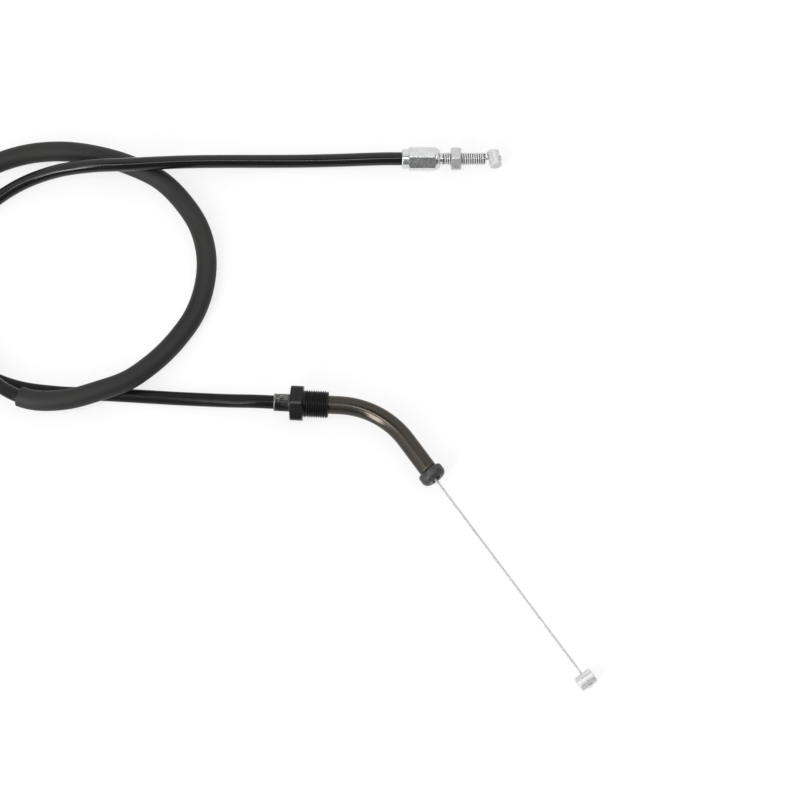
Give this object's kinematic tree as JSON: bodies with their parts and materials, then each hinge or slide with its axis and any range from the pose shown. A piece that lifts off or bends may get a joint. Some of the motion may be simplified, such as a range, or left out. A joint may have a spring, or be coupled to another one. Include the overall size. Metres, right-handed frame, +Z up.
{
  "type": "throttle cable",
  "caption": "Sheathed throttle cable laid out in a loop, with a threaded hex adjuster at one end, a bent guide pipe with a union at the other, and a barrel nipple on each wire end.",
  "frame": {"origin": "on the floor that the cable lies on, under the middle of the box round its rigid pieces", "axes": "+X from the adjuster's casing end towards its threaded stud, +Y from the grip nipple towards the adjuster, +Z up off the floor"},
  "size_m": [0.298, 0.2518, 0.0166],
  "materials": {
    "zinc": "bright zinc plate on turned steel",
    "cast_nipple": "pale die-cast metal, slightly rough",
    "solder": "bright solder bead",
    "wire_steel": "bright stranded wire",
    "black_vinyl": "glossy black vinyl sheath",
    "spiral_steel": "plain drawn steel",
    "liner_plastic": "pale plastic liner",
    "black_rubber": "satin charcoal rubber",
    "black_nickel": "glossy dark bronze-black plate on steel tube",
    "black_oxide": "satin black finish on turned steel",
    "cap_plastic": "dark grey satin plastic"
  },
  "bodies": {
    "casing": {"adjuster_body": "zinc", "casing_sheath": "black_vinyl", "casing_conduit": "spiral_steel", "casing_liner": "liner_plastic", "inner_wire": "wire_steel", "sleeve": "black_rubber", "guide_pipe": "black_nickel", "pipe_cap": "cap_plastic"},
    "lock_nut": {"lock_nut": "zinc"},
    "union": {"union_nut": "black_oxide"},
    "carb_wire": {"carb_wire_end": "wire_steel", "carb_nipple": "cast_nipple", "carb_solder": "solder"},
    "grip_wire": {"grip_wire_end": "wire_steel", "grip_nipple": "cast_nipple", "grip_solder": "solder"}
  },
  "joints": [
    {"name": "lock_nut_turn", "type": "hinge", "parent": "casing", "child": "lock_nut", "pos_m": [-0.0131, 0.1183, 0.00561], "axis": [1, 0, 0], "continuous": true},
    {"name": "union_turn", "type": "hinge", "parent": "casing", "child": "union", "pos_m": [-0.0691, 0.0023, 0.00833], "axis": [0.9988, -0.0489, 0], "continuous": true},
    {"name": "grip_wire_slide", "type": "slide", "parent": "casing", "child": "grip_wire", "axis": [0.5864, -0.8094, -0.0313], "range_m": [-0.03, 0]},
    {"name": "carb_wire_slide", "type": "slide", "parent": "casing", "child": "carb_wire", "axis": [1, 0, 0], "range_m": [0, 0.03]}
  ],
  "couplings": [
    {"joint": "carb_wire_slide", "follows": "grip_wire_slide", "ratio": -1}
  ]
}
